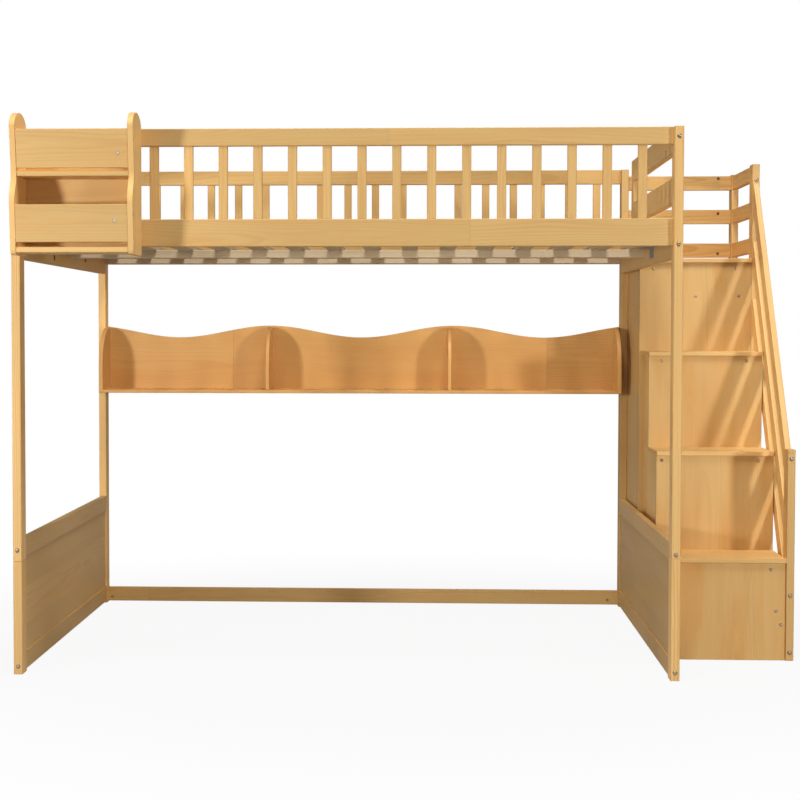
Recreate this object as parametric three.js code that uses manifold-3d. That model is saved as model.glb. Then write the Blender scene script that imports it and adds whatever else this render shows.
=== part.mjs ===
import * as THREE from 'three';
import { mergeVertices } from 'three/addons/utils/BufferGeometryUtils.js';
import Module from 'manifold-3d';

const wasm = await Module();
wasm.setup();

// All sizes are in millimetres. X runs along the bed, Y from the front to the wall, Z up.

// Bed frame: the side rails' top sets the height that everything above the deck follows
const bedLength = 1980;
const bedWidth = 1440;
const railTop = 1360;
const guardHeight = 267;
const postWidth = 27;
const postDepth = 57;
const edgeEase = 2.4;

// Side rails, with a ledger inside each for the slats
const railHeight = 81;
const railThickness = 25;
const railSetback = 21;
const ledgerSize = 20;
const ledgerRise = 1;

// Slats, spread evenly between the end boards
const slatCount = 16;
const slatWidth = 50;
const slatThickness = 18;
const slatClearance = 1;
const slatSeat = 2;

// Guard on each long side: a top rail with square spindles that stand on the side rail
const guardRailHeight = 52;
const guardRailThickness = 20;
const spindleCount = 18;
const spindleWidth = 27;
const spindleThickness = 16;
const spindleTenon = 14;

// Boards and guard rails at both ends, set flush with the posts' inner faces
const endThickness = 20;
const endBoardHeight = 117;
const endRailHeight = 75;
const endRailGap = 72;
const entryWidth = 311;

// Framed panel low down at each end
const panelBottom = 8;
const panelTop = 406;
const panelRailHeight = 55;
const panelSheet = 9;
const panelGroove = 10;

// Stretcher along the floor at the back
const stretcherBottom = 6;
const stretcherHeight = 52;
const stretcherThickness = 20;

// Rack that hangs outside the front guard
const rackWidth = 360;
const rackClearance = 0.5;
const rackBoard = 16.5;
const rackSlat = 12;
const rackSheet = 9;
const rackDrop = 110;
const rackTopReach = 154;
const rackWaistReach = 132;
const rackBellyReach = 159;
const rackFootReach = 145;
const rackBellyHeight = 148;
const rackWaistHeight = 242;
const rackShoulderHeight = 370;
const rackDome = 45;
const rackToeRadius = 10;
const rackShelfHeight = 227;
const rackFloorRise = 6;
const rackShelfInset = 2;
const rackFloorFrontGap = 13;
const rackShelfFrontGap = 7;
const rackUpperFrontTop = 362;
const rackLowerFrontTop = 144;

// Wall shelf between the back posts, with a waved back and three bays
const shelfBottom = 801;
const shelfBoard = 15;
const shelfInnerBoard = 12;
const shelfDepth = 167;
const shelfEndGap = 11;
const shelfMiddleBay = 656;
const shelfFrontRise = 103;
const shelfEndRise = 241;
const shelfTopLand = 14;
const waveMean = 226.5;
const waveHeight = 22;
const waveLength = 684;
const waveSteps = 66;

// Box stair against the right end, climbing towards the wall
const stairWidth = 377;
const stepCount = 4;
const landingDrop = 78;
const treadRun = 210;
const landingDepth = 466;
const stairBoard = 15;
const treadNose = 8;
const sidePanelInset = 13;
const shelfHousing = 5;

// Posts and rails on the stair's open side
const stairPostWidth = 25;
const stairPostDepth = 57;
const newelLead = 6;
const newelHeight = 661;
const stairPostDrop = 20;
const handrailDepth = 52;
const handrailThickness = 18;
const handrailDrop = 198;
const handrailCount = 3;

// Rails round the landing, at one set of heights on both sides
const landingRailInset = 4;
const landingRailHeight = 52;
const landingRailDrop = 124;

// Steel angle that holds the last slat to the right end board
const bracketLeg = 35;
const bracketGauge = 2;
const bracketLength = 86;
const bracketPlace = 458;

// Every cut runs this far past what it cuts, and curves are drawn in this many steps
const overrun = 4;
const curveSteps = 10;

// Places worked out from the sizes above
const postHeight = railTop + guardHeight;
const stairPostHeight = postHeight - stairPostDrop;
const landingRailTop = stairPostHeight - landingRailInset;
const stepRise = (railTop - landingDrop) / stepCount;
const rackBottom = railTop - rackDrop;
const innerLeft = postWidth;
const innerRight = bedLength - postWidth;
const innerFront = postDepth;
const innerBack = bedWidth - postDepth;
const railInnerFace = railSetback + railThickness;
const ledgerTop = railTop - railHeight + ledgerRise + ledgerSize;
const guardBottom = postHeight - guardRailHeight;
const endOuter = postWidth - endThickness;
const entryPostFront = bedWidth - postDepth - entryWidth - postDepth;
const rackLeft = postWidth + rackClearance;
const rackRight = rackLeft + rackWidth;
const rackBackPlane = railSetback;
const shelfBackPlane = bedWidth - railSetback;
const shelfSheetFront = shelfBackPlane - shelfBoard;
const shelfFront = shelfSheetFront - shelfDepth;
const stairLeft = bedLength;
const stairRight = bedLength + stairWidth;
const stairPostRight = stairRight + stairPostWidth;
const landingRiser = bedWidth - landingDepth;
const panelNear = stairLeft + sidePanelInset;
const panelFaceIn = panelNear + stairBoard;
const riserPlane = (step) => landingRiser - (stepCount - step) * treadRun;
const treadTop = (step) => step * stepRise;
const treadUnder = (step) => treadTop(step) - stairBoard;

// Finishes, one material for each mesh
const pineColour = 0xd9aa66;
const palePineColour = 0xc7a67a;
const steelColour = 0x8d949b;
const pineRoughness = 0.5;
const rawPineRoughness = 0.8;
const steelRoughness = 0.35;

const bed = new THREE.Group();
bed.name = 'loft_bed';

// Turns a drawing's own axes to the world: an outline is drawn in Y-Z, X-Z or X-Y
const alongX = new THREE.Vector3(1, 0, 0);
const alongY = new THREE.Vector3(0, 1, 0);
const alongZ = new THREE.Vector3(0, 0, 1);
const drawingPlane = {
  x: new THREE.Matrix4().makeBasis(alongY, alongZ, alongX),
  y: new THREE.Matrix4().makeBasis(alongX, alongZ, alongY.clone().negate()),
  z: new THREE.Matrix4().makeBasis(alongX, alongY, alongZ),
};

// A flat piece: an outline given a thickness along one axis, with its edges eased
function plate(outline, axis, from, to, ease = 0, steps = curveSteps) {
  const geometry = new THREE.ExtrudeGeometry(outline, {
    depth: to - from - 2 * ease,
    bevelEnabled: ease > 0,
    bevelThickness: ease,
    bevelSize: ease,
    bevelOffset: -ease,
    bevelSegments: 1,
    curveSegments: steps,
  });
  geometry.translate(0, 0, ease);
  geometry.applyMatrix4(drawingPlane[axis]);
  const place = new THREE.Vector3();
  place[axis] = axis === 'y' ? to : from;
  return geometry.translate(place.x, place.y, place.z);
}

function roundedRectangle(low, high, radius) {
  const quarter = Math.PI / 2;
  const outline = new THREE.Shape();
  outline.moveTo(low[0] + radius, low[1]);
  outline.absarc(high[0] - radius, low[1] + radius, radius, -quarter, 0);
  outline.absarc(high[0] - radius, high[1] - radius, radius, 0, quarter);
  outline.absarc(low[0] + radius, high[1] - radius, radius, quarter, 2 * quarter);
  outline.absarc(low[0] + radius, low[1] + radius, radius, 2 * quarter, 3 * quarter);
  return outline;
}

// A planed board or stick between two corners: rounded along its length, lightly eased at its ends
function board(low, high, ease = edgeEase) {
  const spans = low.map((value, axis) => high[axis] - value);
  const long = spans.indexOf(Math.max(...spans));
  const radius = Math.min(ease, Math.min(...spans) / 4);
  const across = { 0: [1, 2], 1: [0, 2], 2: [0, 1] }[long];
  const pick = (corner) => across.map((axis) => corner[axis]);
  const outline = roundedRectangle(pick(low), pick(high), radius);
  return plate(outline, 'xyz'[long], low[long], high[long], radius / 2, 1);
}

function outlineOf(points) {
  return new THREE.Shape(points.map(([across, up]) => new THREE.Vector2(across, up)));
}

// Boolean work on closed solids
function solidOf(geometry) {
  const bare = geometry.clone();
  bare.deleteAttribute('normal');
  bare.deleteAttribute('uv');
  const welded = mergeVertices(bare);
  return new wasm.Manifold(new wasm.Mesh({
    numProp: 3,
    vertProperties: new Float32Array(welded.attributes.position.array),
    triVerts: new Uint32Array(welded.index.array),
  }));
}

function geometryOf(solid) {
  const mesh = solid.getMesh();
  const geometry = new THREE.BufferGeometry();
  geometry.setAttribute('position', new THREE.BufferAttribute(mesh.vertProperties, 3));
  geometry.setIndex(new THREE.BufferAttribute(mesh.triVerts, 1));
  geometry.computeVertexNormals();
  return geometry;
}

function fused(geometries) {
  return geometryOf(geometries.map(solidOf).reduce((whole, piece) => whole.add(piece)));
}

function add(name, geometry, color = pineColour, roughness = pineRoughness, metalness = 0) {
  const mesh = new THREE.Mesh(geometry, new THREE.MeshStandardMaterial({ color, roughness, metalness }));
  mesh.name = name;
  bed.add(mesh);
}

// Four corner posts, and the short post that the entry is left beside
function posts() {
  const sides = { left: 0, right: innerRight };
  const depths = { front: 0, back: innerBack };
  for (const [side, x] of Object.entries(sides)) {
    for (const [depth, y] of Object.entries(depths)) {
      add(`post_${depth}_${side}`, board([x, y, 0], [x + postWidth, y + postDepth, postHeight]));
    }
  }
  add('entry_post', board(
    [innerRight, entryPostFront, railTop],
    [bedLength, entryPostFront + postDepth, postHeight],
  ));
}

// The two side rails, and the two guards above them, the back ones mirrored from the front
function sideRailsAndGuards() {
  const mirrored = (near, far, side) => (side === 'front' ? [near, far] : [bedWidth - far, bedWidth - near]);
  const clearLength = innerRight - innerLeft;
  const gap = (clearLength - spindleCount * spindleWidth) / (spindleCount + 1);
  const spindleInset = (guardRailThickness - spindleThickness) / 2;
  for (const side of ['front', 'back']) {
    const [railNear, railFar] = mirrored(railSetback, railInnerFace, side);
    add(`side_rail_${side}`, board(
      [innerLeft, railNear, railTop - railHeight],
      [innerRight, railFar, railTop],
    ));
    const [guardNear, guardFar] = mirrored(railSetback, railSetback + guardRailThickness, side);
    const pieces = [board([innerLeft, guardNear, guardBottom], [innerRight, guardFar, postHeight])];
    for (let index = 0; index < spindleCount; index += 1) {
      const x = innerLeft + gap + index * (gap + spindleWidth);
      pieces.push(board(
        [x, guardNear + spindleInset, railTop],
        [x + spindleWidth, guardFar - spindleInset, guardBottom + spindleTenon],
      ));
    }
    add(`guard_${side}`, fused(pieces));
  }
}

// The slats lie on a ledger inside each side rail and on a beam of post timber laid flat
function slatDeck() {
  const back = bedWidth - railInnerFace;
  const beamFront = (bedWidth - postDepth) / 2;
  const bearers = [
    [railInnerFace, ledgerSize, ledgerSize],
    [back - ledgerSize, ledgerSize, ledgerSize],
    [beamFront, postDepth, postWidth],
  ];
  const pieces = bearers.map(([near, depth, height]) => board(
    [innerLeft, near, ledgerTop - height],
    [innerRight, near + depth, ledgerTop],
  ));
  const first = innerLeft + slatClearance;
  const pitch = (innerRight - slatClearance - slatWidth - first) / (slatCount - 1);
  for (let index = 0; index < slatCount; index += 1) {
    const x = first + index * pitch;
    pieces.push(board(
      [x, railInnerFace, ledgerTop - slatSeat],
      [x + slatWidth, back, ledgerTop - slatSeat + slatThickness],
    ));
  }
  add('slat_deck', fused(pieces), palePineColour, rawPineRoughness);
}

// Each end has a deep board at the deck, two guard rails and a framed panel near the floor
function ends() {
  const reach = { left: [endOuter, postWidth], right: [innerRight, bedLength - endOuter] };
  for (const [side, [near, far]] of Object.entries(reach)) {
    add(`end_board_${side}`, board(
      [near, innerFront, railTop - endBoardHeight],
      [far, innerBack, railTop],
    ));
    const railEnd = side === 'right' ? entryPostFront : innerBack;
    for (const [level, tier] of [['upper', 0], ['lower', 1]]) {
      const top = postHeight - tier * (endRailHeight + endRailGap);
      add(`end_guard_${level}_${side}`, board(
        [near, innerFront, top - endRailHeight],
        [far, railEnd, top],
      ));
    }
    lowerPanel(side, near, far);
  }
}

// Top and bottom rails ploughed with a groove, and a thin panel with its edges in the grooves
function lowerPanel(side, near, far) {
  const sheetNear = (near + far - panelSheet) / 2;
  const groove = (low, high) => solidOf(plate(
    outlineOf([[sheetNear, low], [sheetNear + panelSheet, low], [sheetNear + panelSheet, high], [sheetNear, high]]),
    'y', innerFront - overrun, innerBack + overrun,
  ));
  const rail = (low, high) => solidOf(board([near, innerFront, low], [far, innerBack, high]));
  const lowerTop = panelBottom + panelRailHeight;
  const upperBottom = panelTop - panelRailHeight;
  const lower = rail(panelBottom, lowerTop).subtract(groove(lowerTop - panelGroove, lowerTop + overrun));
  const upper = rail(upperBottom, panelTop).subtract(groove(upperBottom - overrun, upperBottom + panelGroove));
  add(`end_panel_rail_lower_${side}`, geometryOf(lower));
  add(`end_panel_rail_upper_${side}`, geometryOf(upper));
  add(`end_panel_sheet_${side}`, board(
    [sheetNear, innerFront, lowerTop - panelGroove],
    [sheetNear + panelSheet, innerBack, upperBottom + panelGroove],
    0,
  ));
}

function stretcher() {
  add('stretcher_back', board(
    [innerLeft, shelfBackPlane - stretcherThickness, stretcherBottom],
    [innerRight, shelfBackPlane, stretcherBottom + stretcherHeight],
  ));
}

// The rack's sides: a domed top, a waist above the lower pocket and a belly below it
function rackSideOutline() {
  const at = (reach, height) => [rackBackPlane - reach, rackBottom + height];
  const bend = (rackWaistHeight - rackBellyHeight) / 2;
  const outline = new THREE.Shape();
  outline.moveTo(...at(0, 0));
  outline.lineTo(...at(0, rackShoulderHeight));
  outline.absellipse(...at(rackTopReach / 2, rackShoulderHeight), rackTopReach / 2, rackDome, 0, Math.PI);
  outline.lineTo(...at(rackWaistReach, rackWaistHeight));
  outline.bezierCurveTo(
    ...at(rackWaistReach, rackWaistHeight - bend),
    ...at(rackBellyReach, rackBellyHeight + bend),
    ...at(rackBellyReach, rackBellyHeight),
  );
  outline.lineTo(...at(rackFootReach, rackToeRadius));
  outline.quadraticCurveTo(...at(rackFootReach, 0), ...at(rackFootReach - rackToeRadius, 0));
  return outline;
}

// A front board of the rack, leaning with the sides' front edge between two heights
function rackFront(low, high, from, to) {
  const reachAt = (height) => {
    const share = (height - from.height) / (to.height - from.height);
    return from.reach + share * (to.reach - from.reach);
  };
  const corner = (height, depth) => [
    rackBackPlane - reachAt(height) + rackShelfInset + depth,
    rackBottom + height,
  ];
  const outline = outlineOf([corner(low, 0), corner(low, rackSlat), corner(high, rackSlat), corner(high, 0)]);
  return plate(outline, 'x', rackLeft + rackBoard, rackRight - rackBoard, edgeEase / 2);
}

function rack() {
  const innerRackLeft = rackLeft + rackBoard;
  const innerRackRight = rackRight - rackBoard;
  const sheetFront = rackBackPlane - rackSheet;
  const foot = { height: 0, reach: rackFootReach };
  const belly = { height: rackBellyHeight, reach: rackBellyReach };
  const waist = { height: rackWaistHeight, reach: rackWaistReach };
  const shoulder = { height: rackShoulderHeight, reach: rackTopReach };
  add('rack_side_left', plate(rackSideOutline(), 'x', rackLeft, innerRackLeft, edgeEase));
  add('rack_side_right', plate(rackSideOutline(), 'x', innerRackRight, rackRight, edgeEase));
  add('rack_back', board(
    [innerRackLeft, sheetFront, rackBottom + rackFloorRise],
    [innerRackRight, rackBackPlane, rackBottom + rackUpperFrontTop],
  ));
  const shelf = (height, reach) => board(
    [innerRackLeft, rackBackPlane - reach + rackShelfInset, rackBottom + height],
    [innerRackRight, sheetFront, rackBottom + height + rackBoard],
  );
  add('rack_floor', shelf(rackFloorRise, rackFootReach));
  add('rack_shelf', shelf(rackShelfHeight, rackWaistReach));
  add('rack_front_lower', rackFront(rackFloorRise + rackBoard + rackFloorFrontGap, rackLowerFrontTop, foot, belly));
  add('rack_front_upper', rackFront(
    rackShelfHeight + rackBoard + rackShelfFrontGap, rackUpperFrontTop, waist, shoulder,
  ));
}

// The wall shelf's upright boards: straight at the front, then rounded up to the back
function shelfEndOutline(bottom) {
  const curveDepth = shelfDepth - shelfTopLand;
  const curveRise = shelfEndRise - shelfFrontRise;
  const outline = new THREE.Shape();
  outline.moveTo(shelfSheetFront, bottom);
  outline.lineTo(shelfSheetFront, shelfBottom + shelfEndRise);
  outline.lineTo(shelfFront + curveDepth, shelfBottom + shelfEndRise);
  outline.absellipse(
    shelfFront + curveDepth, shelfBottom + shelfFrontRise, curveDepth, curveRise, Math.PI / 2, Math.PI,
  );
  outline.lineTo(shelfFront, bottom);
  return outline;
}

function wallShelf() {
  const left = innerLeft;
  const right = innerRight - shelfEndGap;
  const middle = (innerLeft + innerRight) / 2;
  const top = [];
  for (let step = 0; step <= waveSteps; step += 1) {
    const x = innerRight - (step / waveSteps) * (innerRight - innerLeft);
    const turn = (2 * Math.PI * (x - middle)) / waveLength;
    top.push([x, shelfBottom + waveMean - waveHeight * Math.cos(turn)]);
  }
  const outline = outlineOf([[innerLeft, shelfBottom], [innerRight, shelfBottom], ...top]);
  add('shelf_back', plate(outline, 'y', shelfSheetFront, shelfBackPlane, edgeEase));
  add('shelf_floor', board(
    [left + shelfBoard, shelfFront, shelfBottom],
    [right - shelfBoard, shelfSheetFront, shelfBottom + shelfInnerBoard],
  ));
  add('shelf_end_left', plate(shelfEndOutline(shelfBottom), 'x', left, left + shelfBoard, edgeEase));
  add('shelf_end_right', plate(shelfEndOutline(shelfBottom), 'x', right - shelfBoard, right, edgeEase));
  const bayLeft = (left + right - shelfMiddleBay) / 2;
  for (const [index, x] of [bayLeft - shelfInnerBoard, bayLeft + shelfMiddleBay].entries()) {
    const upright = shelfEndOutline(shelfBottom + shelfInnerBoard);
    add(`shelf_divider_${index + 1}`, plate(upright, 'x', x, x + shelfInnerBoard, edgeEase));
  }
}

// Treads and risers: each riser runs on down to the floor as a divider, the middle ones inside the
// side panel and the last one whole, with its edge against the bed's end
function stepsAndLanding() {
  for (let step = 1; step <= stepCount; step += 1) {
    const front = riserPlane(step);
    const last = step === stepCount;
    const notched = step > 1 && !last;
    const shoulder = notched ? treadUnder(step - 1) : 0;
    const left = last ? stairLeft - endOuter : stairLeft;
    const upper = board([left, front, shoulder], [stairRight, front + stairBoard, treadUnder(step)]);
    const lower = () => board([panelFaceIn, front, 0], [stairRight, front + stairBoard, shoulder + overrun]);
    add(`riser_${step}`, notched ? fused([upper, lower()]) : upper);
    const back = last ? bedWidth : riserPlane(step + 1);
    add(last ? 'landing' : `tread_${step}`, board(
      [stairLeft, front - treadNose, treadUnder(step)],
      [stairRight, back, treadTop(step)],
    ));
  }
}

// The side panels by the bed, each with the floors and shelves that are housed in it
function stairCase() {
  const sheetFront = bedWidth - stairBoard;
  const join = riserPlane(stepCount);
  const stepped = [];
  for (let step = 1; step < stepCount; step += 1) {
    const front = riserPlane(step) + stairBoard;
    const below = step > 1 ? treadUnder(step - 1) : 0;
    stepped.push([front, below], [front, treadUnder(step)]);
  }
  stepped.push([join, treadUnder(stepCount - 1)], [join, 0]);
  const landingTop = treadUnder(stepCount);
  const start = join + stairBoard;
  const landingPanel = [[start, 0], [start, landingTop], [sheetFront, landingTop], [sheetFront, 0]];
  const shelvesOf = (step, near) => {
    const front = riserPlane(step) + stairBoard;
    const back = step === stepCount ? sheetFront : riserPlane(step + 1);
    const floors = [0];
    for (let level = 1; level < step; level += 1) {
      floors.push(treadUnder(level));
    }
    return floors.map((floor) => board(
      [near + stairBoard - shelfHousing, front, floor],
      [stairRight, back, floor + stairBoard],
    ));
  };
  const columns = [];
  for (let step = 1; step < stepCount; step += 1) {
    columns.push(...shelvesOf(step, panelNear));
  }
  const panel = (points, near) => plate(outlineOf(points), 'x', near, near + stairBoard);
  add('stair_case_front', fused([panel(stepped, panelNear), ...columns]));
  add('stair_case_landing', fused([panel(landingPanel, stairLeft), ...shelvesOf(stepCount, stairLeft)]));
  add('stair_back', board([stairLeft, sheetFront, 0], [stairRight, bedWidth, landingTop]));
}

// Newel, top post and corner post, the slanted handrails and the rails round the landing
function stairRails() {
  const newelFront = riserPlane(1) - newelLead;
  const newelBack = newelFront + stairPostDepth;
  const topPostFront = landingRiser;
  const cornerFront = bedWidth - stairPostDepth;
  const post = (name, front, height) => add(name, board(
    [stairRight, front, 0],
    [stairPostRight, front + stairPostDepth, height],
  ));
  post('newel_post', newelFront, newelHeight);
  post('stair_top_post', topPostFront, stairPostHeight);
  post('stair_corner_post', cornerFront, stairPostHeight);
  const railNear = stairRight + (stairPostWidth - handrailThickness) / 2;
  const railFar = railNear + handrailThickness;
  const slope = stepRise / treadRun;
  const upright = handrailDepth * Math.hypot(1, slope);
  const climb = slope * (topPostFront - newelBack);
  for (let index = 0; index < handrailCount; index += 1) {
    const low = newelHeight - index * handrailDrop;
    const outline = outlineOf([
      [newelBack, low - upright],
      [topPostFront, low + climb - upright],
      [topPostFront, low + climb],
      [newelBack, low],
    ]);
    add(`handrail_${index + 1}`, plate(outline, 'x', railNear, railFar, edgeEase));
    const top = landingRailTop - index * landingRailDrop;
    add(`landing_rail_side_${index + 1}`, board(
      [railNear, topPostFront + stairPostDepth, top - landingRailHeight],
      [railFar, cornerFront, top],
    ));
    add(`landing_rail_back_${index + 1}`, board(
      [stairLeft, shelfBackPlane - guardRailThickness, top - landingRailHeight],
      [stairRight, shelfBackPlane, top],
    ));
  }
}

// An angle under the last slat, one leg on the end board and one under the slat
function deckBracket() {
  const under = ledgerTop - slatSeat;
  const outline = outlineOf([
    [innerRight, under - bracketLeg],
    [innerRight, under],
    [innerRight - bracketLeg, under],
    [innerRight - bracketLeg, under - bracketGauge],
    [innerRight - bracketGauge, under - bracketGauge],
    [innerRight - bracketGauge, under - bracketLeg],
  ]);
  const angle = plate(outline, 'y', bracketPlace, bracketPlace + bracketLength);
  add('deck_bracket', angle, steelColour, steelRoughness, 1);
}

posts();
sideRailsAndGuards();
slatDeck();
ends();
stretcher();
rack();
wallShelf();
stepsAndLanding();
stairCase();
stairRails();
deckBracket();

// The origin is on the floor, below the middle of the whole object
const rackFrontReach = rackBellyReach - rackBackPlane;
bed.position.set(-stairPostRight / 2, -(bedWidth - rackFrontReach) / 2, 0);
bed.updateMatrixWorld(true);

export default bed;
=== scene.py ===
# %% [markdown]
# # A pine loft bed with a storage stair
# This lesson dresses a measured model of a loft bed. The bed is made of planed pine boards
# under a clear honey lacquer, bolted together with steel. The measured model gives every
# board its size and place, so the work here is what a joiner's hand and the tree give:
# eased edges, growth rings, knots, glued staves, finger joints and the small steel fixings.

# %% Open the measured model
import math

import bpy
import numpy as np
from mathutils import Matrix, Vector


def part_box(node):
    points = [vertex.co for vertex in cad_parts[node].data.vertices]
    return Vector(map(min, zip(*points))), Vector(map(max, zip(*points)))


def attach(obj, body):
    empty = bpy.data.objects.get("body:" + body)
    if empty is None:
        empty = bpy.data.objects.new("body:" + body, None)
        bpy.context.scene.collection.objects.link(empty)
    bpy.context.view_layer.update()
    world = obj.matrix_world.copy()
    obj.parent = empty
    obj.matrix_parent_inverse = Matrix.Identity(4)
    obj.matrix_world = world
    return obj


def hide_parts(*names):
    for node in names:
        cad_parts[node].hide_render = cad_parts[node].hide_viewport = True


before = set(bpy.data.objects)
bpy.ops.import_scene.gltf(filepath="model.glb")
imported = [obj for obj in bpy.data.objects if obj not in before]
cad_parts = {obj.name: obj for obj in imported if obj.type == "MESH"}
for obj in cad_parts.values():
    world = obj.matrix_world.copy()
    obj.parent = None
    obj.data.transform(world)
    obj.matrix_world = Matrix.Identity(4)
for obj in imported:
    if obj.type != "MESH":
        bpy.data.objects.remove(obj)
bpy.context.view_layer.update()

# %% [markdown]
# ## Where the camera stands
# The picture was taken from straight in front, a little above the middle of the bed, with a
# long lens. Its position and turn were worked out from about thirty corners of the bed that
# can be measured in the picture. A small shift of the lens gives the same framing without
# turning the camera, which keeps upright posts upright.

# %% Camera
TO_MIDDLE = np.array([1.191, 0.651, 0])  # from the bed's front left corner to the origin, metres
CAMERA_SPOT = (1.2311, -5.1326, 1.0295)  # metres from the bed's front left corner
CAMERA_RIGHT = (0.998875, 0.047413, 0.000974)  # where the right side of the picture points
CAMERA_UP = (-0.002877, 0.040083, 0.999192)  # where its top points
LENS, FILM_WIDTH = 78.4, 36.0  # millimetres
LENS_SHIFT = (0.0711, 0.0013)  # in widths of the picture


def in_scene(name, data):
    """A new object in the scene."""
    made = bpy.data.objects.new(name, data)
    bpy.context.scene.collection.objects.link(made)
    return made


camera_data = bpy.data.cameras.new("camera")
camera = in_scene("camera", camera_data)
bpy.context.scene.camera = camera
camera_data.sensor_width = FILM_WIDTH
camera_data.lens = LENS
camera_data.shift_x, camera_data.shift_y = LENS_SHIFT
camera_right, camera_up = Vector(CAMERA_RIGHT), Vector(CAMERA_UP)
camera_back = camera_right.cross(camera_up).normalized()
camera_turn = Matrix((camera_right, camera_up, camera_back)).transposed()
camera_place = Vector(CAMERA_SPOT - TO_MIDDLE)
camera.matrix_world = Matrix.Translation(camera_place) @ camera_turn.to_4x4()
print("camera lens", camera_data.lens, "mm at", [round(v, 3) for v in camera.location])

# %% [markdown]
# ## Shader maths that reads like maths
# A material in Blender is a graph of nodes, and written out link by link it is hard to read.
# Here one small class wraps a node's output, so that `1 - mask` or `rings * 0.5` adds the
# Math nodes by itself. Every other kind of node comes from one method, `node`.

# %% Sockets with arithmetic
class Wire:
    """One output of a node. Sums and products of wires and numbers become Math nodes."""

    def __init__(self, tree, socket):
        self.tree, self.socket = tree, socket

    def maths(self, operation, *others, swap=False):
        values = (*others, self) if swap else (self, *others)
        return node(self.tree, "ShaderNodeMath", {"operation": operation}, dict(enumerate(values)))

    def __add__(self, other):
        return self.maths("ADD", other)

    def __sub__(self, other):
        return self.maths("SUBTRACT", other)

    def __rsub__(self, other):
        return self.maths("SUBTRACT", other, swap=True)

    def __mul__(self, other):
        return self.maths("MULTIPLY", other)

    def __truediv__(self, other):
        return self.maths("DIVIDE", other)

    def __pow__(self, other):
        return self.maths("POWER", other)

    __radd__, __rmul__ = __add__, __mul__

    def above(self, edge, width):
        """0 below edge, 1 above edge + width, and a smooth rise between."""
        return node(self.tree, "ShaderNodeMapRange", {"interpolation_type": "SMOOTHSTEP"},
                    {"Value": self, "From Min": edge, "From Max": edge + width})


def node(tree, kind, settings=None, sockets=None, output=0):
    """Adds a node of that type. Its settings come first, then its sockets get values or links."""
    made = tree.nodes.new(kind)
    for key, value in (settings or {}).items():
        setattr(made, key, value)
    for key, value in (sockets or {}).items():
        if isinstance(value, Wire):
            tree.links.new(value.socket, made.inputs[key])
        else:
            made.inputs[key].default_value = value
    return Wire(tree, made.outputs[output]) if len(made.outputs) else None


def blended(tree, share, first, second):
    """Two colours mixed by a share from 0 to 1."""
    return node(tree, "ShaderNodeMix", {"data_type": "RGBA"}, {0: share, 6: first, 7: second}, 2)


def vector_maths(tree, operation, first, second, output=0):
    """Two vectors worked on together. A length comes out of output 1."""
    return node(tree, "ShaderNodeVectorMath", {"operation": operation}, {0: first, 1: second}, output)


def joined(tree, x, y, z):
    """Three numbers as one vector."""
    return node(tree, "ShaderNodeCombineXYZ", None, {0: x, 1: y, 2: z})


def parts_of(tree, vector):
    """The three numbers in a vector or a colour."""
    separate = node(tree, "ShaderNodeSeparateXYZ", None, {0: vector}).socket.node
    return [Wire(tree, socket) for socket in separate.outputs]


print("shader helpers ready")

# %% Colours and empty finishes
OBJECT_PLACE = 3  # the output of Texture Coordinate that gives a place on the object, in metres


def paint(red, green, blue):
    """A colour as seen on a screen, 0 to 255, as the linear values that the shader wants."""
    seen = np.array([red, green, blue]) / 255
    linear = np.where(seen <= 0.04045, seen / 12.92, ((seen + 0.055) / 1.055) ** 2.4)
    return (*[float(v) for v in linear], 1.0)


def empty_finish(name):
    """A new material with nothing in its graph yet."""
    material = bpy.data.materials.new(name)
    material.use_nodes = True
    material.node_tree.nodes.clear()
    return material, material.node_tree


print("honey in linear light:", [round(v, 3) for v in paint(231, 190, 123)[:3]])

# %% [markdown]
# ## Lacquered pine
# Pine is drawn by its growth rings: pale wood that grew in spring, then a narrow darker line
# from late summer. A board is cut from a log whose middle (the pith) lies somewhere beside
# it, so the rings are circles round a line along the board, and the cut face shows them as
# long streaks and pointed arches. A flat picture of grain can't go round a corner, so this
# finish works the rings out in space. Each board carries its own measures as attributes:
# `timber` is the place in the log, `stave` says how it is glued up from shorter or narrower
# pieces, and `finish` holds its tone, its eased edges and its end grain. Boards of one
# finish then share one material, and no two of them look alike.

# %% What the finish reads
def attribute(tree, name):
    """The three numbers that each board carries under that name."""
    return node(tree, "ShaderNodeAttribute", {"attribute_name": name}, None, 1)


def noise(tree, vector, detail=2.0, roughness=0.5):
    """Soft clouds round 0.5, about one to each unit of the vector."""
    return node(tree, "ShaderNodeTexNoise", {"noise_dimensions": "3D"},
                {"Vector": vector, "Scale": 1.0, "Detail": detail, "Roughness": roughness})


def dice(tree, dimensions, sockets, output=0):
    """A random number (output 0) or three as a colour (output 1), always the same for the same place."""
    return node(tree, "ShaderNodeTexWhiteNoise", {"noise_dimensions": dimensions}, sockets, output)


print("board attributes: timber, stave, finish")

# %% Staves and finger joints
FINGER_PITCH, FINGER_LENGTH = 0.0052, 0.014  # metres
LENGTH_SEAM = (0.0003, 0.0007)  # metres: half the glue line between lengths, and its soft edge
STAVE_SEAM = (0.0001, 0.0004)  # the same between staves side by side


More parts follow.
